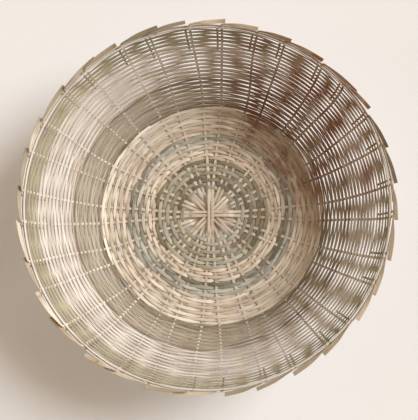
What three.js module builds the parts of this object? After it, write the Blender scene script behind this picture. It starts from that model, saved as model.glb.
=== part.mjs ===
// A round winnowing basket of flat bamboo splints.
//
// Sixteen long splints cross at the hub in eight pairs. Each runs from rim to rim, so the bowl has
// thirty-two upright stakes. Strips called weavers pass over and under the stakes, in bands of
// different colours. Thirty-two is an even number, so each band needs two weavers that pass the
// stakes in opposite order: each of them is one waved ring here, which holds all of its rows.
// Two hoops hold the rim between them, and every stake folds over clockwise above the hoops, with
// its cut end standing out from the edge.
//
// Millimetres, +Z up. The origin is on the surface that the basket stands on, below the hub.

import * as THREE from "three";

// ---- Driving dimensions ----

const FLAT_RADIUS = 132; // where the flat base starts to turn up
// The outline beyond it: the bend above the base, the wall, and the steeper part below the rim.
// Each arc runs on from the one before, up to the slope given.
const WALL_ARCS = [
  { radius: 34, endSlope: THREE.MathUtils.degToRad(42) },
  { radius: 308, endSlope: THREE.MathUtils.degToRad(58) },
  { radius: 107, endSlope: THREE.MathUtils.degToRad(76) },
];
const HUB_RISE = 3.5; // the middle of the base is domed up by this much
const DOME_RADIUS = 106; // the dome ends here

const PAIR_COUNT = 8; // directions in which the pairs of long splints lie
const SPLINT_WIDTH = 4;
const SPLINT_THICKNESS = 0.8;
const PAIR_HALF_PITCH = 2.3; // the two splints of a pair lie this far to each side of its middle
const SPREAD_AT_HUB = THREE.MathUtils.degToRad(4); // half the angle between the stakes of a pair
const SPREAD_AT_RIM = THREE.MathUtils.degToRad(4.8);
const LAYER_PITCH = 1.05; // height from one crossing pair to the next, at the hub
const CROSSING_RADIUS = 23; // the pairs lie on each other inside this radius
// The order in which the eight directions are stacked, from the lowest to the top one.
const STACKING_ORDER = [1, 5, 7, 3, 6, 2, 0, 4];

const WEAVER_THICKNESS = 1;
const WEAVE_CLEARANCE = 0.35; // between a weaver and the stake that it passes
const CREST_MARGIN = 0.3; // how far a weaver stays flat past the edge of a stake
const ROW_GAP = 0.5; // between one weaver ring and the next

const HOOP_WIDTH = 5;
const HOOP_THICKNESS = 2.6;
const HOOP_START = 271; // distance from the hub to the hoops, along the weave

const FOLD_RADIUS = 4; // turn of a stake's middle line where it folds over at the rim
const TIP_LENGTH = 42; // from the fold to the cut end, along the rim
const TIP_STANDOUT = 3.5; // how far outside the fold the cut end stands
const TIP_SLOPE = THREE.MathUtils.degToRad(30); // a tip lies nearly flat at its cut end
const TIP_STEPS = 4; // straight stretches in a tip

// Each band of colour, from the hub outwards. Its two weavers share the width between start and
// end, which are measured from the hub along the weave.
const BANDS = [
  { name: "inner_grey", start: 35.5, end: 71, material: "greyGreen", overPairs: true },
  { name: "inner_natural", start: 71, end: 88, material: "natural" },
  { name: "outer_grey", start: 88, end: 106, material: "blueGrey" },
  { name: "base_natural", start: 106, end: 148.7, material: "natural" },
  { name: "wall_brown", start: 148.7, end: 185.4, material: "brownGreen" },
  { name: "wall_natural", start: 185.4, end: 243, material: "natural" },
  { name: "wall_green", start: 243, end: 267.5, material: "greyGreen" },
];

// ---- Sizes that follow from them ----

const SPOKE_ANGLE = Math.PI / PAIR_COUNT; // from one pair to the next, around the hub
const RIM_SLOPE = WALL_ARCS.at(-1).endSlope;
const RIM_DISTANCE = FLAT_RADIUS + wallLength();
const WEAVE_SWING = (SPLINT_THICKNESS + WEAVER_THICKNESS) / 2 + WEAVE_CLEARANCE;
const BASE_HEIGHT = WEAVE_SWING + WEAVER_THICKNESS / 2;
const HOOP_OFFSET = (SPLINT_THICKNESS + HOOP_THICKNESS) / 2 + WEAVE_CLEARANCE;

const materials = {
  splint: bamboo(0xe6d9c3, 0.62),
  natural: bamboo(0xe5d7c0, 0.66),
  greyGreen: bamboo(0xa9a48e, 0.72),
  blueGrey: bamboo(0xb1b4a9, 0.72),
  brownGreen: bamboo(0x9c8b70, 0.7),
  hoop: bamboo(0xede1cc, 0.6),
};

function bamboo(color, roughness) {
  return new THREE.MeshStandardMaterial({ color, roughness, metalness: 0 });
}

// ---- The shape of the bowl ----

// The length of the wall's outline, from the edge of the flat base to the rim.
function wallLength() {
  let length = 0;
  let slope = 0;
  for (const arc of WALL_ARCS) {
    length += arc.radius * (arc.endSlope - slope);
    slope = arc.endSlope;
  }
  return length;
}

// The middle surface of the weave at a distance from the hub, measured along it.
function bowlAt(distance) {
  const inDome = Math.max(0, 1 - (distance / DOME_RADIUS) ** 2);
  let radius = Math.min(distance, FLAT_RADIUS);
  let height = BASE_HEIGHT + HUB_RISE * inDome ** 2;
  let slope = 0;
  let left = distance - radius;
  for (const arc of WALL_ARCS) {
    const turned = Math.min(left / arc.radius, arc.endSlope - slope);
    radius += arc.radius * (Math.sin(slope + turned) - Math.sin(slope));
    height += arc.radius * (Math.cos(slope) - Math.cos(slope + turned));
    slope += turned;
    left -= turned * arc.radius;
  }
  return { radius, height, slope };
}

// Half the angle between the two stakes of a pair.
function spreadAt(radius) {
  return THREE.MathUtils.mapLinear(radius, 0, bowlAt(RIM_DISTANCE).radius, SPREAD_AT_HUB, SPREAD_AT_RIM);
}

function middleOf(band) {
  return (band.start + band.end) / 2;
}

// ---- Long splints ----

// The distances at which a stake bends: where the crossing ends, and at each weaver's edges.
const STAKE_STATIONS = [
  CROSSING_RADIUS,
  ...BANDS.flatMap((band) => [band.start, middleOf(band)]),
  BANDS.at(-1).end,
  RIM_DISTANCE,
];

// A direction in the plane at an angle around the hub, and the one a quarter turn on from it.
function aroundHub(angle) {
  const outward = new THREE.Vector3(Math.cos(angle), Math.sin(angle), 0);
  const counterClockwise = new THREE.Vector3(-Math.sin(angle), Math.cos(angle), 0);
  return { outward, counterClockwise };
}

// The direction up a slope that faces outward, and the direction that its inner face looks in.
function risingFrom(outward, slope) {
  return outward.clone().multiplyScalar(Math.cos(slope)).setZ(Math.sin(slope));
}

function insideOf(outward, slope) {
  return outward.clone().multiplyScalar(-Math.sin(slope)).setZ(Math.cos(slope));
}

// One cross-section of a stake: its centre, the way its width runs, and the way its inner face looks.
function stakeSection(distance, spoke, side, hubLift) {
  const { radius, height, slope } = bowlAt(distance);
  const offset = Math.max(PAIR_HALF_PITCH, radius * Math.sin(spreadAt(radius)));
  const angle = spoke + side * Math.asin(offset / radius);
  const parallel = offset === PAIR_HALF_PITCH;
  const place = aroundHub(angle);
  const facing = aroundHub(parallel ? spoke : angle);
  const lift = distance <= CROSSING_RADIUS ? hubLift : 0;
  return {
    centre: place.outward.multiplyScalar(radius).setZ(height + lift),
    across: facing.counterClockwise,
    normal: insideOf(facing.outward, slope),
  };
}

// The stake's last sections: it folds over clockwise, and its tip runs along the rim and outwards.
function tipSections(spoke, side) {
  const rim = bowlAt(RIM_DISTANCE);
  const stakeAngle = spoke + side * spreadAt(rim.radius);
  const { outward, counterClockwise } = aroundHub(stakeAngle);
  const rising = risingFrom(outward, RIM_SLOPE);
  const start = outward.clone().multiplyScalar(rim.radius).setZ(rim.height);

  const fold = [Math.PI / 4, Math.PI / 2].map((turn) => ({
    centre: start
      .clone()
      .addScaledVector(rising, FOLD_RADIUS * Math.sin(turn))
      .addScaledVector(counterClockwise, -FOLD_RADIUS * (1 - Math.cos(turn))),
    across: counterClockwise
      .clone()
      .multiplyScalar(Math.cos(turn))
      .addScaledVector(rising, Math.sin(turn)),
    normal: insideOf(outward, RIM_SLOPE),
  }));

  const foldEnd = fold.at(-1).centre;
  const foldRadius = Math.hypot(foldEnd.x, foldEnd.y);
  const tip = [];
  for (let step = 1; step <= TIP_STEPS; step += 1) {
    const part = step / TIP_STEPS;
    const angle = stakeAngle - (FOLD_RADIUS + part * TIP_LENGTH) / foldRadius;
    const slope = THREE.MathUtils.lerp(RIM_SLOPE, TIP_SLOPE, part);
    const facing = aroundHub(angle).outward;
    tip.push({
      centre: facing.clone().multiplyScalar(foldRadius + part * TIP_STANDOUT).setZ(foldEnd.z),
      across: risingFrom(facing, slope),
      normal: insideOf(facing, slope),
    });
  }
  return [...fold, ...tip];
}

// Half of a long splint, from the edge of the crossing to the cut end of its tip.
function stakeSections(spoke, side, hubLift) {
  const upright = STAKE_STATIONS.map((distance) => stakeSection(distance, spoke, side, hubLift));
  return [...upright, ...tipSections(spoke, side)];
}

// A flat strip through a list of cross-sections: a long box, bent to follow them.
function stripThrough(sections, width, thickness) {
  const strip = new THREE.BoxGeometry(1, width, thickness, sections.length - 1, 1, 1);
  const position = strip.getAttribute("position");
  const point = new THREE.Vector3();
  for (let i = 0; i < position.count; i += 1) {
    const index = Math.round((position.getX(i) + 0.5) * (sections.length - 1));
    const { centre, across, normal } = sections[index];
    point
      .copy(centre)
      .addScaledVector(across, position.getY(i))
      .addScaledVector(normal, position.getZ(i));
    position.setXYZ(i, point.x, point.y, point.z);
  }
  strip.computeVertexNormals();
  return strip;
}

// A whole splint: one stake, the crossing, and the stake opposite.
function longSplint(pair, side) {
  const spoke = pair * SPOKE_ANGLE;
  const layer = STACKING_ORDER.indexOf(pair);
  const hubLift = (layer - (PAIR_COUNT - 1) / 2) * LAYER_PITCH;
  const near = stakeSections(spoke, side, hubLift);
  const far = stakeSections(spoke + Math.PI, -side, hubLift);
  far.forEach((section) => section.across.negate());
  return stripThrough([...far.reverse(), ...near], SPLINT_WIDTH, SPLINT_THICKNESS);
}

// ---- Weavers and hoops ----

// Where a ring bends at a radius, counter-clockwise: both edges of every crest, in order, with the
// side of the stakes that the ring is on there, +1 inside the bowl and -1 outside.
function crestsAt(radius, overPairs, firstSide) {
  const spread = spreadAt(radius);
  const cover = Math.asin((SPLINT_WIDTH / 2 + CREST_MARGIN) / radius);
  const crests = [];
  for (let pair = 0; pair < 2 * PAIR_COUNT; pair += 1) {
    const spoke = pair * SPOKE_ANGLE;
    if (overPairs) {
      const swing = pair % 2 ? -firstSide : firstSide;
      crests.push({ angle: spoke - spread - cover, swing }, { angle: spoke + spread + cover, swing });
      continue;
    }
    for (const side of [-1, 1]) {
      const stake = spoke + side * spread;
      const swing = side * firstSide;
      crests.push({ angle: stake - cover, swing }, { angle: stake + cover, swing });
    }
  }
  return crests;
}

// A ring between two points of the bowl's outline, thick on both sides of the line between them
// and moved off it by an offset. It bends at the crests given, and swings to their sides.
function ringBetween(inner, outer, thickness, offset, crests, swing) {
  const along = new THREE.Vector2().subVectors(outer, inner).normalize();
  const normal = new THREE.Vector2(-along.y, along.x);
  const corner = (end, depth) => end.clone().addScaledVector(normal, offset + depth);
  const outline = [
    corner(inner, -thickness / 2),
    corner(outer, -thickness / 2),
    corner(outer, thickness / 2),
    corner(inner, thickness / 2),
    corner(inner, -thickness / 2),
  ];
  const ring = new THREE.LatheGeometry(outline, crests.length);
  const position = ring.getAttribute("position");
  for (let i = 0; i < position.count; i += 1) {
    const turn = Math.atan2(position.getX(i), position.getZ(i)) / (2 * Math.PI);
    const crest = crests[(Math.round(turn * crests.length) + crests.length) % crests.length];
    const plain = Math.hypot(position.getX(i), position.getZ(i));
    const radius = plain + normal.x * swing * crest.swing;
    const height = position.getY(i) + normal.y * swing * crest.swing;
    position.setXYZ(i, radius * Math.cos(crest.angle), radius * Math.sin(crest.angle), height);
  }
  ring.computeVertexNormals();
  return ring;
}

function outlinePoint(distance) {
  const { radius, height } = bowlAt(distance);
  return new THREE.Vector2(radius, height);
}

// One weaver of a band, between two distances from the hub.
function weaverRing(band, from, to, firstSide) {
  const inner = outlinePoint(from);
  const outer = outlinePoint(to);
  const trim = ROW_GAP / 2 / inner.distanceTo(outer);
  const trimmedInner = inner.clone().lerp(outer, trim);
  const trimmedOuter = outer.clone().lerp(inner, trim);
  const crests = crestsAt(inner.x, band.overPairs, firstSide);
  return ringBetween(trimmedInner, trimmedOuter, WEAVER_THICKNESS, 0, crests, WEAVE_SWING);
}

// A hoop on one side of the stakes, just below the fold.
function hoopRing(side) {
  const inner = outlinePoint(HOOP_START);
  const outer = outlinePoint(HOOP_START + HOOP_WIDTH);
  const crests = crestsAt(inner.x, false, 1);
  return ringBetween(inner, outer, HOOP_THICKNESS, side * HOOP_OFFSET, crests, 0);
}

// ---- The basket ----

const basket = new THREE.Group();

function addPiece(name, geometry, material) {
  const piece = new THREE.Mesh(geometry, material);
  piece.name = name;
  basket.add(piece);
}

for (let pair = 0; pair < PAIR_COUNT; pair += 1) {
  addPiece(`long_splint_${pair + 1}a`, longSplint(pair, -1), materials.splint);
  addPiece(`long_splint_${pair + 1}b`, longSplint(pair, 1), materials.splint);
}

for (const band of BANDS) {
  const middle = middleOf(band);
  const material = materials[band.material];
  addPiece(`${band.name}_weaver_a`, weaverRing(band, band.start, middle, 1), material);
  addPiece(`${band.name}_weaver_b`, weaverRing(band, middle, band.end, -1), material);
}

addPiece("rim_hoop_inner", hoopRing(1), materials.hoop);
addPiece("rim_hoop_outer", hoopRing(-1), materials.hoop);

export default basket;
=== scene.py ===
"""Winnowing basket: every strip of the weave as its own bent strip of split bamboo, around the CAD frame.

The CAD frame has one waved ring for each weaver. Here each weaver is the spiral of narrow strips that
it really is, which passes over one stake and under the next, and the long splints, the folded tips, the
tucked ends and the hoops are finer versions of their CAD solids. Lengths are in metres, except in the
settings of the bands, which are in millimetres.
"""

import math

import bpy
import numpy as np
from mathutils import Matrix, Vector


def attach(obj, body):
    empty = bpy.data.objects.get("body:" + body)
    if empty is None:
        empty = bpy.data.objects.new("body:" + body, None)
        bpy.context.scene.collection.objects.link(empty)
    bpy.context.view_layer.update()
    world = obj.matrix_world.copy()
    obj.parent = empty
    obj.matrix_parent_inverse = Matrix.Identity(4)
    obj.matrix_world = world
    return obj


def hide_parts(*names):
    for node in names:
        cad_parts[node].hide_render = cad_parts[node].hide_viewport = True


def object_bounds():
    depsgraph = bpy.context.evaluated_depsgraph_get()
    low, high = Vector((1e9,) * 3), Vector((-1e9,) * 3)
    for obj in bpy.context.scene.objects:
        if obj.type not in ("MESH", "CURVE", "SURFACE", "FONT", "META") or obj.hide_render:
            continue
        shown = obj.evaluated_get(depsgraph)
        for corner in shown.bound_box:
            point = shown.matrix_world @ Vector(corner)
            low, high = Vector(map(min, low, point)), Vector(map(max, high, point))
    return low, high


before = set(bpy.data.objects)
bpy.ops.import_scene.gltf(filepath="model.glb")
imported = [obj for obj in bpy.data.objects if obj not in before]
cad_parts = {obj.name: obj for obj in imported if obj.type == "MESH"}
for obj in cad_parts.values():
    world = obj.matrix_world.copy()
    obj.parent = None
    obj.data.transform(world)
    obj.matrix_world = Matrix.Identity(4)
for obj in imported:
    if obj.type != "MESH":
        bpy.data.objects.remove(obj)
cad_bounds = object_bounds()

MM = 0.001
rng = np.random.default_rng(32)
look_rng = np.random.default_rng(7)

# ---- The bowl: the same middle surface as the CAD frame's ----

FLAT_RADIUS = 132 * MM
# The bend above the flat base, the wall, and the steeper part below the rim: radius and end slope.
WALL_ARCS = [
    (34 * MM, math.radians(42)),
    (308 * MM, math.radians(58)),
    (107 * MM, math.radians(76)),
]
RIM_SLOPE = WALL_ARCS[-1][1]
BASE_HEIGHT = 1.75 * MM
HUB_RISE = 3.5 * MM
DOME_RADIUS = 106 * MM

# ---- The stakes ----

PAIR_COUNT = 8
STAKE_COUNT = 4 * PAIR_COUNT
SPOKE_ANGLE = math.pi / PAIR_COUNT
STAKE_WIDTH = 3.5 * MM  # at the hub
STAKE_WIDTH_ON_WALL = 3 * MM
TIP_WIDTH = 5 * MM
STAKE_THICKNESS = 0.7 * MM
PAIR_HALF_PITCH = 2.3 * MM
SPREAD_AT_HUB = math.radians(4)
SPREAD_AT_RIM = math.radians(4.8)
LAYER_PITCH = 1.05 * MM
CROSSING_RADIUS = 23 * MM  # the pairs lie on each other inside this radius
CROSSING_END = 30 * MM  # here all pairs are back at one height
CROSSING_STATIONS = np.array([6, 12, 18, 23, 25, 27, 28.5]) * MM  # cross-sections on the way there
STACKING_ORDER = [1, 5, 7, 3, 6, 2, 0, 4]
FOLD_RADIUS = 3.4 * MM
FOLD_STATIONS = 6
TIP_STATIONS = 13
TIP_LENGTH = 44 * MM
TIP_STANDOUT = 3.5 * MM
TIP_SLOPE = math.radians(26)
TIP_DROOP = 2.2 * MM
# By how much the tips differ from each other, as factors.
TIP_LENGTHS = (0.86, 1.14)
TIP_STANDOUTS = (0.7, 1.5)
TIP_SLOPES = (0.5, 1.5)
TIP_DROOPS = (0.5, 1.3)
# How early along its length each change of a strip is complete: 2 would be at half of the length.
TIP_TURN_RATE = 1.7
TIP_DROOP_RATE = 1.2
TIP_WIDENING_RATE = 1.5
WALL_NARROWING_RATE = 1.6

# The tucked ends: a short splint lies beside each stake below the rim.
TUCK_START = 238 * MM
TUCK_START_RANGE = (-6, 4)  # in millimetres, by how much the starts differ from that
TUCK_ANGLE = math.radians(1.5)
TUCK_WIDTH = STAKE_WIDTH_ON_WALL * 0.85
TUCK_STATIONS = 12

# ---- The weavers ----

# What the bands of the base share, and those of the wall. Strip width is in row pitches; swell is how
# much wider a strip is between stakes, and pinch how much narrower behind one, both as shares of that.
# Turns are the least and the most that a strip goes around the basket, if it isn't the last of its
# weaver. The rest is in millimetres: strip thickness, the swing from the weave's middle surface to a
# strip's middle at a stake, how far a strip shifts outwards inside a stake and back behind one, and
# the scales of how rows wander together and of how each strip strays by itself.
BASE_WEAVE = {
    "width": 0.98, "swell": 0.08, "pinch": 0.5, "thickness": 0.6, "swing": 0.9,
    "shift": 0.3, "wander": 1.3, "stray": 0.3, "turns": (0.4, 1.1),
}
WALL_WEAVE = {
    "width": 1.0, "swell": 0.08, "pinch": 0.14, "thickness": 0.65, "swing": 1.1,
    "shift": 0.12, "wander": 0.9, "stray": 0.28, "turns": (0.8, 1.9),
}
# Where each band starts and ends, in millimetres from the hub, its rows, and what it has instead of a
# shared setting. In the first, the weavers pass over and under pairs of stakes.
BANDS = [
    dict(BASE_WEAVE, name="inner_grey", start=30, end=71, rows=8, width=0.88, pairs=True),
    dict(BASE_WEAVE, name="inner_natural", start=71, end=88, rows=4),
    dict(BASE_WEAVE, name="outer_grey", start=88, end=106, rows=4),
    dict(BASE_WEAVE, name="base_natural", start=106, end=143, rows=9),
    dict(WALL_WEAVE, name="wall_brown", start=143, end=188, rows=15, width=0.94, pinch=0.3),
    dict(WALL_WEAVE, name="wall_natural", start=188, end=243, rows=19),
    dict(WALL_WEAVE, name="wall_green", start=243, end=267.5, rows=8, wander=0.5),
]


def smooth(x):
    """0 below 0, 1 above 1, with a smooth rise between."""
    x = np.clip(x, 0, 1)
    return x * x * (3 - 2 * x)


def wall_length():
    length, slope = 0.0, 0.0
    for radius, end_slope in WALL_ARCS:
        length += radius * (end_slope - slope)
        slope = end_slope
    return length


def bowl(distance):
    """Radius, height and slope of the weave's middle surface, at distances from the hub along it."""
    distance = np.asarray(distance, float)
    radius = np.minimum(distance, FLAT_RADIUS)
    height = BASE_HEIGHT + HUB_RISE * np.clip(1 - (distance / DOME_RADIUS) ** 2, 0, 1) ** 2
    slope = np.zeros_like(distance)
    left = distance - radius
    for arc_radius, end_slope in WALL_ARCS:
        turned = np.minimum(left / arc_radius, end_slope - slope)
        radius = radius + arc_radius * (np.sin(slope + turned) - np.sin(slope))
        height = height + arc_radius * (np.cos(slope) - np.cos(slope + turned))
        slope = slope + turned
        left = left - turned * arc_radius
    return radius, height, slope


RIM_DISTANCE = FLAT_RADIUS + wall_length()
RIM_RADIUS = float(bowl(RIM_DISTANCE)[0])


def directions(angle, slope):
    """Unit vectors at angles around the hub: up the slope, counter-clockwise, and out of its inner face."""
    angle, slope = np.broadcast_arrays(angle, slope)
    outward = np.stack([np.cos(angle), np.sin(angle), np.zeros_like(angle)], -1)
    rising = outward * np.cos(slope)[..., None]
    rising[..., 2] = np.sin(slope)
    turning = np.stack([-np.sin(angle), np.cos(angle), np.zeros_like(angle)], -1)
    inner = outward * -np.sin(slope)[..., None]
    inner[..., 2] = np.cos(slope)
    return rising, turning, inner


def polar(radius, angle, height):
    return np.stack([radius * np.cos(angle), radius * np.sin(angle), height + 0 * angle], -1)


# Hand-made unevenness of the stakes: each leans to one side a little, and wanders, once it is clear
# of the crossing.
STAKE_LEAN = math.radians(0.4)
STAKE_WANDER = math.radians(0.3)
stake_lean = rng.normal(0, STAKE_LEAN, STAKE_COUNT)
stake_wander = rng.normal(0, STAKE_WANDER, STAKE_COUNT)
stake_phase = rng.uniform(0, 2 * math.pi, STAKE_COUNT)
WANDER_LENGTH = 160 * MM
LEAN_REACH = 90 * MM  # from the crossing to where the unevenness is full


def spread_at(radius):
    return SPREAD_AT_HUB + (SPREAD_AT_RIM - SPREAD_AT_HUB) * radius / RIM_RADIUS


def stake_angle(stake, distance):
    """The angle around the hub of one or more stakes, at a distance. Stakes 2n and 2n + 1 are a pair."""
    radius = bowl(distance)[0]
    side = np.where(np.asarray(stake) % 2, 1, -1)
    offset = np.maximum(PAIR_HALF_PITCH, radius * np.sin(spread_at(radius)))
    turn = np.arcsin(np.clip(offset / np.maximum(radius, 1e-6), -1, 1))
    settled = smooth((radius - CROSSING_RADIUS) / LEAN_REACH)
    wander = stake_wander[stake] * np.sin(2 * math.pi * distance / WANDER_LENGTH + stake_phase[stake])
    return (np.asarray(stake) // 2) * SPOKE_ANGLE + side * turn + settled * (stake_lean[stake] + wander)


# ---- Strips of bamboo ----

# A strip's cross-section, in half widths and half thicknesses: the outer skin is slightly crowned,
# and the edges are chamfered. It runs counter-clockwise.
SECTION = np.array([
    (1, 0), (0.86, 0.85), (0, 1.1), (-0.86, 0.85),
    (-1, 0), (-0.86, -0.9), (0, -1), (0.86, -0.9),
])
SHARP_EDGE = math.radians(35)
# The lanes of the baking UV map: how much longer each is than its share, and the gap at its sides.
LANE_SLACK = 1.002
LANE_MARGIN = 0.08


class Strips:
    """Collects bent strips, then makes one object of them, with UV maps and an attribute for each look."""

    def __init__(self):
        self.points = []
        self.faces = []
        self.runs = []  # one row for each face: distance along, next distance, across, next across
        self.looks = []  # one row for each face: shade, share of the second colour, seed
        self.count = 0
        self.length = 0.0

    def add(self, centres, across, normals, width, thickness, shade, second=0.0):
        """A strip through cross-sections. Width, thickness, shade and second are numbers or arrays."""
        steps = len(centres)
        sides = len(SECTION)
        half_width = np.broadcast_to(width, (steps,))[:, None, None] / 2
        half_thick = np.broadcast_to(thickness, (steps,))[:, None, None] / 2
        ring = centres[:, None, :] + across[:, None, :] * SECTION[None, :, :1] * half_width
        ring = ring + normals[:, None, :] * SECTION[None, :, 1:] * half_thick
        self.points.append(ring.reshape(-1, 3))

        i, j = np.meshgrid(np.arange(steps - 1), np.arange(sides), indexing="ij")
        k = (j + 1) % sides
        a = self.count + i * sides + j
        b = self.count + i * sides + k
        quads = np.stack([a, b, b + sides, a + sides], -1).reshape(-1, 4)
        along = np.concatenate([[0], np.cumsum(np.linalg.norm(np.diff(centres, axis=0), axis=1))])
        size = np.array([np.mean(width), np.mean(thickness)]) / 2
        edge = np.linalg.norm(np.diff(np.vstack([SECTION, SECTION[:1]]) * size, axis=0), axis=1)
        around = np.concatenate([[0], np.cumsum(edge)])
        run = np.stack([along[i], along[i + 1], around[j], around[j + 1]], -1).reshape(-1, 4)
        start = self.length
        end = start + along[-1]
        last = self.count + (steps - 1) * sides
        self.faces.extend(quads.tolist())
        self.faces.append([self.count + s for s in reversed(range(sides))])
        self.faces.append([last + s for s in range(sides)])
        self.runs.append(run + [start, start, 0, 0])
        self.runs.append(np.array([[start, start, 0, around[-1]], [end, end, 0, around[-1]]]))

        look = np.stack([np.broadcast_to(v, (steps,)) for v in (shade, second, look_rng.uniform())], -1)
        self.looks.append(np.repeat((look[:-1] + look[1:]) / 2, sides, axis=0))
        self.looks.append(look[[0, -1]])
        self.count += steps * sides
        self.length = end

    def build(self, name, material):
        """The finished object. On the baking UV map its strips lie end to end, in lanes side by side."""
        mesh = bpy.data.meshes.new(name)
        points = settle(np.concatenate(self.points))
        mesh.from_pydata(points.tolist(), [], self.faces)
        run = np.concatenate(self.runs)
        looks = np.concatenate(self.looks)

        lengths = np.array([len(face) for face in self.faces])
        face_of = np.repeat(np.arange(len(self.faces)), lengths)
        corner = np.arange(lengths.sum()) - np.repeat(np.cumsum(lengths) - lengths, lengths)
        quad = lengths[face_of] == 4
        later = np.where(quad, corner >= 2, False)
        further = np.where(quad, (corner == 1) | (corner == 2), corner >= 4)
        along = np.where(later, run[face_of, 1], run[face_of, 0])
        across = np.where(further, run[face_of, 3], run[face_of, 2])

        girth = run[:, 3].max()
        lanes = max(1, round(math.sqrt(self.length / girth)))
        lane_length = self.length / lanes * LANE_SLACK
        lane = np.floor(run[:, 0] / lane_length)[face_of]
        bake_u = np.clip((along - lane * lane_length) / lane_length, 0, 1)
        bake_v = (lane + LANE_MARGIN + (1 - 2 * LANE_MARGIN) * across / girth) / lanes
        for layer, u, v in (("Strand", along, across), ("OFBake", bake_u, np.clip(bake_v, 0, 1))):
            uv = mesh.uv_layers.new(name=layer)
            uv.data.foreach_set("uv", np.stack([u, v], -1).astype(np.float32).ravel())
        for column, attribute_name in enumerate(("shade", "second", "seed")):
            attribute = mesh.attributes.new(attribute_name, "FLOAT", "FACE")
            attribute.data.foreach_set("value", looks[:, column].astype(np.float32))
        mesh.validate()
        mesh.shade_smooth()
        mesh.set_sharp_from_angle(angle=SHARP_EDGE)
        mesh.materials.append(material)
        piece = bpy.data.objects.new(name, mesh)
        bpy.context.scene.collection.objects.link(piece)
        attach(piece, "root")
        return piece


# The finished basket isn't quite round or level: the rim is a little oval, and it dips and rises. Where
# it does so around the hub is chance.
OVAL = 0.004
TRILOBE = 0.003
RIM_WAVE = 1.2 * MM


def settle(points):
    """Moves points as the whole basket has settled, more towards the rim."""
    radius = np.hypot(points[:, 0], points[:, 1])
    angle = np.arctan2(points[:, 1], points[:, 0])
    share = smooth((radius - FLAT_RADIUS) / (RIM_RADIUS - FLAT_RADIUS))
    stretch = 1 + share * (OVAL * np.cos(2 * angle + 0.7) + TRILOBE * np.cos(3 * angle - 0.4))
    lift = share * RIM_WAVE * (np.sin(2 * angle + 2.1) + 0.5 * np.sin(5 * angle)) / 1.5
    return np.stack([points[:, 0] * stretch, points[:, 1] * stretch, points[:, 2] + lift], -1)


# ---- Materials ----


def linear(red, green, blue):
    """A colour given as 8-bit sRGB, in linear light."""
    channels = [c / 255 for c in (red, green, blue)]
    return tuple(c / 12.92 if c <= 0.04045 else ((c + 0.055) / 1.055) ** 2.4 for c in channels) + (1.0,)


# The colour sockets of a Mix node, which share their names with sockets of other kinds.
MIX_A = 6
MIX_B = 7
MIX_RESULT = 2


class Graph:
    """Short names for making and linking shader nodes."""

    def __init__(self, name):
        self.material = bpy.data.materials.new(name)
        self.material.use_nodes = True
        self.nodes = self.material.node_tree.nodes
        self.links = self.material.node_tree.links
        self.shader = self.nodes["Principled BSDF"]

    def node(self, kind, inputs=None, **settings):
        made = self.nodes.new(kind)
        for key, value in settings.items():
            setattr(made, key, value)
        for key, value in (inputs or {}).items():
            self.put(made.inputs[key], value)
        return made

    def put(self, socket, value):
        if isinstance(value, bpy.types.NodeSocket):
            self.links.new(value, socket)
        else:
            socket.default_value = value

    def math(self, operation, *values):
        made = self.node("ShaderNodeMath", operation=operation)
        for socket, value in zip(made.inputs, values):
            self.put(socket, value)
        return made.outputs[0]

    def mix(self, factor, a, b, blend="MIX"):
        made = self.node("ShaderNodeMix", data_type="RGBA", blend_type=blend)
        self.put(made.inputs["Factor"], factor)
        self.put(made.inputs[MIX_A], a)
        self.put(made.inputs[MIX_B], b)
        return made.outputs[MIX_RESULT]

    def remap(self, value, low, high, to_low=0.0, to_high=1.0):
        inputs = {"Value": value, "From Min": low, "From Max": high, "To Min": to_low, "To Max": to_high}
        return self.node("ShaderNodeMapRange", inputs).outputs[0]

    def combine(self, x, y, z):
        return self.node("ShaderNodeCombineXYZ", {"X": x, "Y": y, "Z": z}).outputs[0]

    def noise(self, vector, scale=1.0, detail=2.0, roughness=0.5):
        inputs = {"Vector": vector, "Scale": scale, "Detail": detail, "Roughness": roughness}
        return self.node("ShaderNodeTexNoise", inputs, noise_dimensions="3D").outputs[0]


# How finely the looks of a strip change, in cycles for each metre: along it, or along and across it.
SHADE_DRIFT = 14.0
HUE_DRIFT = 9.0
FIBRES = (55.0, 5200.0)
STREAKS = (22.0, 1400.0)
CULM_NODES = 2.1
# What a strip's seed is multiplied by, to shift its noise and its culm nodes away from other strips'.
NOISE_SHIFT = 37.0
NODE_SHIFT = 11.0
NOISE_SPAN = (0.3, 0.7)  # most of what a noise gives lies between these
SHADE_CHANGE = 0.4
HUE_CHANGE = 0.25
HUE_SPAN = (0.1, 0.9)
FIBRE_SHADES = (0.86, 1.08)
STREAK_SHADES = (0.86, 1.1)
# A culm node's mark and the halo around it: where each starts and ends to fade, in cycles, and how
# strong it is.
NODE_MARK = (0.002, 0.006, 0.45)
NODE_HALO = (0.005, 0.03, 0.16)
ROUGHNESS_CHANGES = (-0.08, 0.14)
STREAK_RELIEF = 0.8  # as a share of the fibres' relief
RELIEF = {"Strength": 0.35, "Distance": 0.12 * MM}
SPECULAR = 0.35

# Painted shade: the inner faces on one side, around its azimuth near the key light's, lie in shade and are
# painted brown, between these cosines of the angle to it, and more with the distance from the middle of the
# underside.
PAINTED_SHADE_AZIMUTH = math.radians(42)
PAINTED_SHADE_SIDE = (math.cos(PAINTED_SHADE_AZIMUTH), math.sin(PAINTED_SHADE_AZIMUTH), 0)
PAINTED_SHADE_COSINES = (0.55, 0.92)
PAINTED_SHADE_RADII = (60 * MM, 125 * MM)
PAINTED_SHADE_FACES = (0.25, 0.05)  # from faces that look outwards to those that look inwards
HUB_STAIN_RADII = (6 * MM, 20 * MM)
PATCHES = 24.0  # in cycles for each metre
PATCH_SPAN = (0.52, 0.74)
# Smudges of darker painted shade, inside the painted shade, follow the same noise as the stained patches.
SHADE_SMUDGE_SPAN = (0.46, 0.58)
PATCH_STAIN = 0.25
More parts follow.
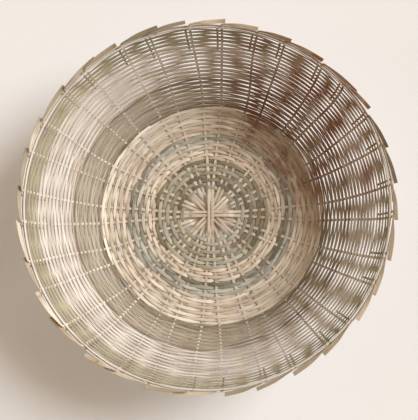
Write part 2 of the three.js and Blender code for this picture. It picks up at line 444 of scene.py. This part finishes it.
# How much brown the painted shade and its smudges add.
PAINTED_SHADE_STRENGTH = 0.58
SHADE_SMUDGE_STRENGTH = 0.4
HUB_STAIN = 0.25
# The stains and the painted shade are weaker on some streaks than on others: the span of the streaks, and
# the weakest share.
STREAKED_SPAN = (0.35, 0.65)
STREAKED_LEAST = 0.65


def strip_colour(g, colours, second, strip):
    """Each strip has its own shade and share of the second colour, and both drift along its length."""
    light, middle, dark = colours
    along, shift = strip["along"], strip["shift"]
    drift = g.noise(g.combine(g.math("MULTIPLY", along, SHADE_DRIFT), shift, 0.0), detail=3.0)
    own = g.math("ADD", strip["shade"], g.remap(drift, *NOISE_SPAN, -SHADE_CHANGE, SHADE_CHANGE))
    colour = g.mix(g.remap(own, 0.0, 0.5), dark, middle)
    colour = g.mix(g.remap(own, 0.5, 1.0), colour, light)
    hue_drift = g.noise(g.combine(g.math("MULTIPLY", along, HUE_DRIFT), shift, 5.0), detail=2.0)
    turned = g.math("ADD", strip["second"], g.remap(hue_drift, *NOISE_SPAN, -HUE_CHANGE, HUE_CHANGE))
    return g.mix(g.remap(turned, *HUE_SPAN), colour, second)


def lines_along(g, strip, cycles, detail, roughness=0.5):
    """Noise that is drawn out into lines along a strip."""
    along = g.math("MULTIPLY", strip["along"], cycles[0])
    across = g.math("MULTIPLY", strip["across"], cycles[1])
    return g.noise(g.combine(along, across, strip["shift"]), detail=detail, roughness=roughness)


def culm_nodes(g, strip):
    """The culm's nodes cross the strip as thin brown marks, about half a metre apart."""
    shift = g.math("MULTIPLY", strip["seed"], NODE_SHIFT)
    cycle = g.math("ADD", g.math("MULTIPLY", strip["along"], CULM_NODES), shift)
    from_node = g.math("ABSOLUTE", g.math("SUBTRACT", g.math("FRACT", cycle), 0.5))
    mark = g.remap(from_node, *NODE_MARK, 0.0)
    halo = g.remap(from_node, *NODE_HALO, 0.0)
    return g.math("MAXIMUM", mark, halo)


def stains_and_painted_shade(g, streak):
    """Old use has stained the basket in patches and has browned the hub. Painted shade browns the inner
    faces of one side, with darker smudges.
    """
    place = g.node("ShaderNodeTexCoord").outputs["Object"]
    radius = g.node("ShaderNodeVectorMath", {0: place}, operation="LENGTH").outputs["Value"]
    outwards = g.node("ShaderNodeVectorMath", {0: place}, operation="NORMALIZE").outputs["Vector"]
    # Painted shade: the inner faces on the side towards the key light, which lie in shade, are browned.
    cosine = g.node("ShaderNodeVectorMath", {0: outwards, 1: PAINTED_SHADE_SIDE}, operation="DOT_PRODUCT")
    painted_shade = g.remap(cosine.outputs["Value"], *PAINTED_SHADE_COSINES)
    painted_shade = g.math("MULTIPLY", painted_shade, g.remap(radius, *PAINTED_SHADE_RADII))
    normal = g.node("ShaderNodeNewGeometry").outputs["Normal"]
    facing_out = g.node("ShaderNodeVectorMath", {0: outwards, 1: normal}, operation="DOT_PRODUCT")
    painted_shade = g.math("MULTIPLY", painted_shade, g.remap(facing_out.outputs["Value"], *PAINTED_SHADE_FACES))
    patch = g.noise(place, scale=PATCHES, detail=3.0, roughness=0.55)
    grime_and_shade = g.remap(patch, *PATCH_SPAN, 0.0, PATCH_STAIN)
    grime_and_shade = g.math("ADD", grime_and_shade, g.math("MULTIPLY", painted_shade, PAINTED_SHADE_STRENGTH))
    # Darker smudges of painted shade inside it.
    shade_smudge = g.math("MULTIPLY", g.remap(patch, *SHADE_SMUDGE_SPAN), painted_shade)
    grime_and_shade = g.math("ADD", grime_and_shade, g.math("MULTIPLY", shade_smudge, SHADE_SMUDGE_STRENGTH))
    grime_and_shade = g.math("ADD", grime_and_shade, g.remap(radius, *HUB_STAIN_RADII, HUB_STAIN, 0.0))
    return g.math("MULTIPLY", grime_and_shade, g.remap(streak, *STREAKED_SPAN, STREAKED_LEAST, 1.0))


def bamboo(name, colours, second, stain_and_shade, skin_roughness=0.5):
    """Split bamboo: colours go from light to dark, second is another colour that some strips take."""
    g = Graph(name)
    strand = g.node("ShaderNodeSeparateXYZ", {0: g.node("ShaderNodeUVMap", uv_map="Strand").outputs[0]})
    strip = {"along": strand.outputs[0], "across": strand.outputs[1]}
    for look in ("shade", "second", "seed"):
        strip[look] = g.node("ShaderNodeAttribute", attribute_name=look).outputs["Fac"]
    strip["shift"] = g.math("MULTIPLY", strip["seed"], NOISE_SHIFT)

    colour = strip_colour(g, colours, second, strip)
    fibre = lines_along(g, strip, FIBRES, detail=3.0, roughness=0.6)
    streak = lines_along(g, strip, STREAKS, detail=2.0)
    fibre_shade = g.remap(fibre, *NOISE_SPAN, *FIBRE_SHADES)
    streak_shade = g.remap(streak, *NOISE_SPAN, *STREAK_SHADES)
    lines = g.math("MULTIPLY", fibre_shade, streak_shade)
    colour = g.mix(1.0, colour, g.combine(lines, lines, lines), "MULTIPLY")
    colour = g.mix(culm_nodes(g, strip), colour, stain_and_shade)
    # Stains from old use, and painted shade that browns the inner faces of one side.
    colour = g.mix(stains_and_painted_shade(g, streak), colour, stain_and_shade)

    g.put(g.shader.inputs["Base Color"], colour)
    rough = g.remap(fibre, *NOISE_SPAN, *(skin_roughness + change for change in ROUGHNESS_CHANGES))
    g.put(g.shader.inputs["Roughness"], rough)
    relief = g.math("ADD", fibre, g.math("MULTIPLY", streak, STREAK_RELIEF))
    bump = g.node("ShaderNodeBump", {**RELIEF, "Height": relief})
    g.put(g.shader.inputs["Normal"], bump.outputs[0])
    g.shader.inputs["Specular IOR Level"].default_value = SPECULAR
    return g.material


# Light, middle and dark of each kind of strip, and the one brown of all stains and of the painted shade.
NATURAL = (linear(218, 213, 207), linear(203, 196, 187), linear(181, 170, 155))
PALE = (linear(245, 238, 227), linear(234, 223, 209), linear(206, 191, 170))
GREY_GREEN = (linear(182, 178, 155), linear(139, 132, 108), linear(92, 83, 60))
RIM_GREEN = (linear(172, 166, 143), linear(147, 139, 115), linear(114, 104, 80))
BLUE_GREY = (linear(198, 200, 191), linear(169, 170, 159), linear(122, 119, 105))
BROWN_GREEN = (linear(170, 161, 142), linear(141, 130, 110), linear(110, 96, 76))
SPLINT = (linear(226, 216, 200), linear(209, 196, 177), linear(172, 156, 134))
STAIN_AND_SHADE_BROWN = linear(118, 64, 28)

splint_bamboo = bamboo("splint_bamboo", SPLINT, GREY_GREEN[1], STAIN_AND_SHADE_BROWN, skin_roughness=0.46)
natural_bamboo = bamboo("natural_bamboo", NATURAL, GREY_GREEN[0], STAIN_AND_SHADE_BROWN)
pale_bamboo = bamboo("pale_bamboo", PALE, GREY_GREEN[0], STAIN_AND_SHADE_BROWN)
grey_green_bamboo = bamboo("grey_green_bamboo", GREY_GREEN, BLUE_GREY[0], STAIN_AND_SHADE_BROWN, skin_roughness=0.55)
rim_green_bamboo = bamboo("rim_green_bamboo", RIM_GREEN, NATURAL[2], STAIN_AND_SHADE_BROWN, skin_roughness=0.55)
blue_grey_bamboo = bamboo("blue_grey_bamboo", BLUE_GREY, PALE[1], STAIN_AND_SHADE_BROWN, skin_roughness=0.55)
brown_green_bamboo = bamboo("brown_green_bamboo", BROWN_GREEN, NATURAL[2], STAIN_AND_SHADE_BROWN, skin_roughness=0.55)
hoop_bamboo = bamboo("hoop_bamboo", NATURAL, NATURAL[0], STAIN_AND_SHADE_BROWN, skin_roughness=0.44)

# The material, the material slot, and how much of the second colour a strip may have, at most.
WEAVER_LOOKS = {
    "inner_grey": (grey_green_bamboo, "weaver_grey_green", 1.0),
    "inner_natural": (pale_bamboo, "weaver_natural", 0.5),
    "outer_grey": (blue_grey_bamboo, "weaver_blue_grey", 0.8),
    "base_natural": (pale_bamboo, "weaver_natural", 0.3),
    "wall_brown": (brown_green_bamboo, "weaver_brown_green", 0.7),
    "wall_natural": (natural_bamboo, "weaver_natural", 0.15),
    "wall_green": (rim_green_bamboo, "weaver_grey_green", 0.6),
}

# ---- Weavers ----

STEPS_PER_STAKE = 8
CREST_MARGIN = 0.4 * MM  # a strip stays flat this far past a stake's edge
MOST_FLAT = 0.45  # the most of the way to the next stake that it stays flat, at each end
STRAIGHT_SHARE = 0.45  # how much of a strip's passing to the other side is a straight slope
FIRST_CREST = 3  # the first weaver starts at this stake


def crests(distance, over_pairs):
    """The middle and half width, in angle, of each crest of a row at a distance, counter-clockwise."""
    stakes = np.arange(STAKE_COUNT)
    radius = bowl(distance)[0]
    angles = stake_angle(stakes, distance)
    if over_pairs:
        first, second = angles[0::2], angles[1::2]
        half = (second - first) / 2 + (STAKE_WIDTH / 2 + CREST_MARGIN) / radius
        return (first + second) / 2, half
    half = np.full(STAKE_COUNT, (STAKE_WIDTH / 2 + CREST_MARGIN) / radius)
    if distance > TUCK_START:
        return angles + TUCK_ANGLE / 2, half + TUCK_ANGLE / 2
    return angles, half


def weave_path(start_crest, crest_total, distance_from, distance_to, over_pairs, first_side):
    """Angles, distances and sides, from +1 inside the stakes to -1 outside, along a spiral."""
    count = STAKE_COUNT // 2 if over_pairs else STAKE_COUNT
    angles, distances, sides = [], [], []
    for step in range(crest_total):
        crest = start_crest + step
        here = distance_from + (distance_to - distance_from) * step / crest_total
        there = distance_from + (distance_to - distance_from) * (step + 1) / crest_total
        middle, half = crests(here, over_pairs)
        this, following = crest % count, (crest + 1) % count
        angle = middle[this] + 2 * math.pi * (crest // count)
        next_angle = crests(there, over_pairs)[0][following] + 2 * math.pi * ((crest + 1) // count)
        gap = next_angle - angle
        flat = min(half[this] / gap, MOST_FLAT)
        parts = np.concatenate([[0, flat], np.linspace(flat, 1 - flat, STEPS_PER_STAKE - 1)[1:]])
        rise = np.clip((parts - flat) / (1 - 2 * flat), 0, 1)
        side = first_side * (1 if crest % 2 == 0 else -1)
        angles.append(angle + parts * gap)
        distances.append(here + parts * (there - here))
        passed = STRAIGHT_SHARE * rise + (1 - STRAIGHT_SHARE) * smooth(rise)
        sides.append(side * (1 - 2 * passed))
    return np.concatenate(angles), np.concatenate(distances), np.concatenate(sides)


# Rows wander a little up and down the weave, and neighbours wander together.
ROW_WAVES = 8
ROW_WAVE_SIZE = 0.28
ROW_WAVE_LENGTH = 24 * MM
ROW_WAVE_STEP = 0.3  # each finer wave turns faster with distance by this
row_phase = rng.uniform(0, 2 * math.pi, ROW_WAVES)
row_size = rng.normal(0, ROW_WAVE_SIZE, ROW_WAVES)


def row_wander(angles, distances):
    waves = [
        size * np.sin((k + 1) * angles + phase + distances / ROW_WAVE_LENGTH * (1 + ROW_WAVE_STEP * k))
        for k, (size, phase) in enumerate(zip(row_size, row_phase))
    ]
    return sum(waves)


TILT = 0.06
TILT_BETWEEN_STAKES = 0.15
WIDTH_WAVE = 0.05
WIDTH_RANGE = 0.1
LEAST_SHADE = 0.05
SHADE_SPAN = 0.9
SECOND_POWER = 1.5  # above 1, few strips take much of the second colour


def add_strip(strips, angles, distances, sides, band, pitch, most_second):
    """One strip of a weaver, along its path. It twists a little between stakes."""
    shade, second, own_width, phase = rng.uniform(size=4)

    def wave(cycles, phase_factor):
        """A wave around the basket. The factor gives each wave of a strip its own phase, from one draw."""
        return np.sin(cycles * angles + phase_factor * phase)

    stray = band["stray"] * (wave(4, 70) + wave(11, 90))
    sideways = band["wander"] * row_wander(angles, distances) / 2 + band["shift"] * sides + stray
    radius, height, slope = bowl(distances + sideways * MM)
    rising, _, inner = directions(angles, slope)
    centres = polar(radius, angles, height) + inner * (sides * band["swing"] * MM)[:, None]
    tangent = np.gradient(centres, axis=0)
    tangent /= np.linalg.norm(tangent, axis=1)[:, None]
    between = 1 - sides**2
    tilt = TILT * wave(5, 40) + TILT_BETWEEN_STAKES * between * wave(9, 60)
    across = -(rising * np.cos(tilt)[:, None] + inner * np.sin(tilt)[:, None])
    across -= tangent * np.sum(across * tangent, axis=1)[:, None]
    across /= np.linalg.norm(across, axis=1)[:, None]
    normals = np.cross(tangent, across)
    uneven = WIDTH_WAVE * wave(3, 50) + WIDTH_RANGE * (own_width - 0.5)
    behind = np.clip(-sides, 0, 1) ** 2
    share = 1 + uneven + band["swell"] * (between - 0.5)
    width = pitch * band["width"] * (share - band["pinch"] * behind)
    thickness = band["thickness"] * MM
    shade = LEAST_SHADE + SHADE_SPAN * shade
    strips.add(centres, across, normals, width, thickness, shade, most_second * second**SECOND_POWER)


def weaver(band, start_crest, lag, first_side, most_second):
    """One weaver of a band: its spiral as a chain of strips, which end behind stakes.

    Lag is by how many crests more than half a turn it starts after the first weaver.
    """
    over_pairs = band.get("pairs", False)
    count = STAKE_COUNT // 2 if over_pairs else STAKE_COUNT
    start, end = band["start"] * MM, band["end"] * MM
    pitch = (end - start) / band["rows"]
    crest_total = band["rows"] * count // 2
    late = pitch / 2 + lag * 2 * pitch / count
    path = weave_path(start_crest, crest_total, start + late, end + late, over_pairs, first_side)
    strips = Strips()
    done = 0
    while done < crest_total:
        length = 2 * int(rng.uniform(*band["turns"]) * count / 2)
        if crest_total - done - length < count // 4:  # too short a rest for a strip of its own
            length = crest_total - done
        here = slice(done * STEPS_PER_STAKE, (done + length) * STEPS_PER_STAKE + 1)
        add_strip(strips, *(values[here] for values in path), band, pitch, most_second)
        done += length
    return strips


def make_weavers():
    """Both weavers of a band start behind a stake, on nearly opposite sides of the hub."""
    start = {"a": FIRST_CREST, "b": FIRST_CREST + STAKE_COUNT // 2 + 1}
    for band in BANDS:
        material, slot, most_second = WEAVER_LOOKS[band["name"]]
        for letter, first_side, lag in (("a", 1, 0), ("b", -1, 1)):
            start_crest = start[letter] // 2 if band.get("pairs") else start[letter]
            name = f"{band['name']}_strips_{letter}"
            piece = weaver(band, start_crest, lag, first_side, most_second).build(name, material)
            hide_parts(f"{band['name']}_weaver_{letter}")
            start[letter] += band["rows"] * STAKE_COUNT // 2


# ---- Long splints ----

STAKE_STEP = 5 * MM
SPLINT_SHADES = (0.35, 1)
SPLINT_WIDTHS = (0.92, 1.08)
TIP_SHADE_CHANGES = (-0.9, 0.0)
TIP_SECONDS = (-0.3, 1.0)  # the share of the second colour in a tip, where below 0 means none


def stake_stations():
    count = round((RIM_DISTANCE - CROSSING_END) / STAKE_STEP)
    return np.concatenate([CROSSING_STATIONS, np.linspace(CROSSING_END, RIM_DISTANCE, count)])


def half_splint(stake, hub_lift):
    """Centres, across and normals of one stake with its folded tip, from the hub outwards."""
    distance = stake_stations()
    radius, height, slope = bowl(distance)
    spoke = (stake // 2) * SPOKE_ANGLE
    inside = radius < PAIR_HALF_PITCH / math.sin(SPREAD_AT_HUB)
    angle = stake_angle(stake, distance)
    facing = np.where(inside, spoke, angle)
    _, turning, inner = directions(facing, slope)
    lift = hub_lift * (1 - smooth((distance - CROSSING_RADIUS) / (CROSSING_END - CROSSING_RADIUS)))
    centres = polar(radius, angle, height + lift)
    return centres, turning, inner


def tip(stake):
    """The folded end of a stake, which runs clockwise along the rim and turns its face up."""
    radius, height, slope = (float(v) for v in bowl(RIM_DISTANCE))
    angle = float(stake_angle(stake, RIM_DISTANCE))
    rising, turning, inner = directions(angle, slope)
    start = polar(radius, angle, height)
    turn = np.linspace(0, math.pi / 2, FOLD_STATIONS)[1:, None]
    fold = start + rising * FOLD_RADIUS * np.sin(turn) - turning * FOLD_RADIUS * (1 - np.cos(turn))
    fold_across = turning * np.cos(turn) + rising * np.sin(turn)
    fold_normal = np.broadcast_to(inner, fold.shape)

    length = TIP_LENGTH * rng.uniform(*TIP_LENGTHS)
    standout = TIP_STANDOUT * rng.uniform(*TIP_STANDOUTS)
    end_slope = TIP_SLOPE * rng.uniform(*TIP_SLOPES)
    droop = TIP_DROOP * rng.uniform(*TIP_DROOPS)
    part = np.linspace(0, 1, TIP_STATIONS)[1:]
    fold_radius = math.hypot(fold[-1, 0], fold[-1, 1])
    tip_angle = angle - (FOLD_RADIUS + part * length) / fold_radius
    tip_slope = RIM_SLOPE + (end_slope - RIM_SLOPE) * smooth(part * TIP_TURN_RATE)
    out, _, tip_normal = directions(tip_angle, tip_slope)
    tip_height = fold[-1, 2] - droop * smooth(part * TIP_DROOP_RATE)
    centres = polar(fold_radius + standout * part, tip_angle, tip_height)
    return (
        np.concatenate([fold, centres]),
        np.concatenate([fold_across, out]),
        np.concatenate([fold_normal, tip_normal]),
    )


def widths_along(distance, tip_steps):
    """Widths of a stake, which was split narrower on the wall, and of its tip."""
    on_wall = smooth((distance - CROSSING_END) / (RIM_DISTANCE - CROSSING_END) * WALL_NARROWING_RATE)
    stake = STAKE_WIDTH + (STAKE_WIDTH_ON_WALL - STAKE_WIDTH) * on_wall
    widening = smooth(np.linspace(0, TIP_WIDENING_RATE, tip_steps))
    return np.concatenate([stake, STAKE_WIDTH_ON_WALL + (TIP_WIDTH - STAKE_WIDTH_ON_WALL) * widening])


def whole_splint(strips, pair, side):
    """A splint from tip to tip: the half on the far side of the hub runs inwards, then the near half out."""
    layer = STACKING_ORDER.index(pair)
    hub_lift = (layer - (PAIR_COUNT - 1) / 2) * LAYER_PITCH
    near_stake = 2 * pair + (side > 0)
    far_stake = 2 * (pair + PAIR_COUNT) + (side < 0)
    shade = rng.uniform(*SPLINT_SHADES)
    halves = []
    for stake in (far_stake, near_stake):
        body, end = half_splint(stake, hub_lift), tip(stake)
        in_tip = np.repeat([0.0, 1.0], [len(body[0]), len(end[0])])
        halves.append([
            *(np.concatenate([a, b]) for a, b in zip(body, end)),
            widths_along(stake_stations(), len(end[0])),
            shade + in_tip * rng.uniform(*TIP_SHADE_CHANGES),
            in_tip * max(0, rng.uniform(*TIP_SECONDS)),
        ])
    far, near = halves
    far[1] = -far[1]
    centres, across, normals, width, shades, second = (
        np.concatenate([a[::-1], b]) for a, b in zip(far, near)
    )
    width = width * rng.uniform(*SPLINT_WIDTHS)
    strips.add(centres, across, normals, width, STAKE_THICKNESS, shades, second)


def make_splints():
    for pair in range(PAIR_COUNT):
        strips = Strips()
        for side in (-1, 1):
            whole_splint(strips, pair, side)
        piece = strips.build(f"splint_pair_{pair + 1}", splint_bamboo)
        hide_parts(f"long_splint_{pair + 1}a", f"long_splint_{pair + 1}b")


def make_tucked_ends():
    """The short splints beside the stakes, below the rim."""
    strips = Strips()
    for stake in range(STAKE_COUNT):
        start = TUCK_START + rng.uniform(*TUCK_START_RANGE) * MM
        distance = np.linspace(start, RIM_DISTANCE, TUCK_STATIONS)
        radius, height, slope = bowl(distance)
        angle = stake_angle(stake, distance) + TUCK_ANGLE
        _, turning, inner = directions(angle, slope)
        centres = polar(radius, angle, height)
        strips.add(centres, turning, inner, TUCK_WIDTH, STAKE_THICKNESS, rng.uniform())
    piece = strips.build("tucked_ends", rim_green_bamboo)


# ---- Hoops ----

HOOP_DISTANCE = 273.4 * MM
HOOP_STEPS = 256
HOOP_OVERLAP = 0.06  # how far a hoop runs past its own start, in turns
HOOP_PASS = 0.25  # the angle over which it moves away from the stakes to lie on its start
INNER_HOOP = {"offset": 1.3 * MM, "width": 3.2 * MM, "thickness": 1.3 * MM}
OUTER_HOOP = {"offset": -1.5 * MM, "width": 4.6 * MM, "thickness": 1.5 * MM}


def make_hoop(name, node, offset, width, thickness):
    strips = Strips()
    angles = np.linspace(0, 2 * math.pi * (1 + HOOP_OVERLAP), HOOP_STEPS)
    passed = smooth((angles - 2 * math.pi + HOOP_PASS) / HOOP_PASS)
    depth = offset + math.copysign(thickness, offset) * passed
    radius, height, slope = bowl(np.full(HOOP_STEPS, HOOP_DISTANCE))
    rising, _, inner = directions(angles, slope)
    centres = polar(radius, angles, height) + inner * depth[:, None]
    strips.add(centres, -rising, inner, width, thickness, shade=1.0)
    piece = strips.build(name, hoop_bamboo)
    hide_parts(node)


make_weavers()
make_splints()
make_tucked_ends()
make_hoop("inner_hoop", "rim_hoop_inner", **INNER_HOOP)
make_hoop("outer_hoop", "rim_hoop_outer", **OUTER_HOOP)

# ---- Camera, floor and light ----

RIM_TOP = cad_bounds[1][2]
CAMERA_HEIGHT = 1090 * MM  # above the rim
CAMERA_LENS = 79.3  # in millimetres, like the sensor
CAMERA_SENSOR = 36
CAMERA_REACH = 100
LEAN_NEAR = math.radians(7.3)
LEAN_RIGHT = math.radians(5.2)
AIM = Vector((7.3 * MM, -8.6 * MM, RIM_TOP))


def make_camera():
    """Nearly straight above, leaning a few degrees towards the near side and to the right."""
    data = bpy.data.cameras.new("camera")
    camera = bpy.data.objects.new("camera", data)
    bpy.context.scene.collection.objects.link(camera)
    back = Vector((math.tan(LEAN_RIGHT), -math.tan(LEAN_NEAR), 1))
    camera.location = AIM + back * CAMERA_HEIGHT
    back.normalize()
    right = Vector((0, 1, 0)).cross(back).normalized()
    camera.rotation_euler = Matrix((right, back.cross(right), back)).transposed().to_euler()
    data.sensor_width = CAMERA_SENSOR
    data.lens = CAMERA_LENS
    data.clip_end = CAMERA_REACH
    bpy.context.scene.camera = camera


# A plain floor of one pale colour, a little cool because the light is warm.
FLOOR_COLOUR = (0.80, 0.82, 0.86, 1)
FLOOR_ROUGHNESS = 0.9
FLOOR_SIZE = 60


def make_floor():
    bpy.ops.mesh.primitive_plane_add(size=FLOOR_SIZE)
    floor = bpy.context.object
    floor.name = "floor"
    g = Graph("pale_floor")
    g.shader.inputs["Base Color"].default_value = FLOOR_COLOUR
    g.shader.inputs["Roughness"].default_value = FLOOR_ROUGHNESS
    floor.data.materials.append(g.material)


# Azimuth, elevation and softness are in degrees.
KEY = {"azimuth": 24, "elevation": 34, "strength": 3.7, "softness": 34, "colour": (1, 0.985, 0.97)}
FILL = {"azimuth": 190, "elevation": 17, "strength": 0.4, "softness": 40, "colour": (1, 0.9, 0.76)}


def make_sun(name, azimuth, elevation, strength, softness, colour):
    light = bpy.data.lights.new(name, "SUN")
    light.energy = strength
    light.angle = math.radians(softness)
    light.color = colour
    sun = bpy.data.objects.new(name, light)
    azimuth, elevation = math.radians(azimuth), math.radians(elevation)
    level = math.cos(elevation)
    toward = Vector((level * math.cos(azimuth), level * math.sin(azimuth), math.sin(elevation)))
    sun.rotation_euler = toward.to_track_quat("Z", "Y").to_euler()
    bpy.context.scene.collection.objects.link(sun)


SKY_HORIZON = (1.08, 0.99, 0.88, 1)
SKY_ABOVE = (0.335, 0.225, 0.122, 1)
SKY_FADE = (0.2, 0.52)  # from the horizon's colour to the one above, by the height of the direction


def make_world():
    """Soft warm light from above, and a bright pale horizon behind the floor."""
    world = bpy.data.worlds.new("studio")
    world.use_nodes = True
    nodes, links = world.node_tree.nodes, world.node_tree.links
    direction = nodes.new("ShaderNodeTexCoord")
    separate = nodes.new("ShaderNodeSeparateXYZ")
    links.new(direction.outputs["Generated"], separate.inputs[0])
    height = nodes.new("ShaderNodeMapRange")
    height.inputs["From Min"].default_value, height.inputs["From Max"].default_value = SKY_FADE
    links.new(separate.outputs["Z"], height.inputs["Value"])
    sky = nodes.new("ShaderNodeMix")
    sky.data_type = "RGBA"
    sky.inputs[MIX_A].default_value = SKY_HORIZON
    sky.inputs[MIX_B].default_value = SKY_ABOVE
    links.new(height.outputs["Result"], sky.inputs["Factor"])
    links.new(sky.outputs[MIX_RESULT], nodes["Background"].inputs["Color"])
    bpy.context.scene.world = world


make_camera()
make_floor()
make_sun("key", **KEY)
make_sun("fill", **FILL)
make_world()
bpy.context.scene.view_settings.view_transform = "Standard"
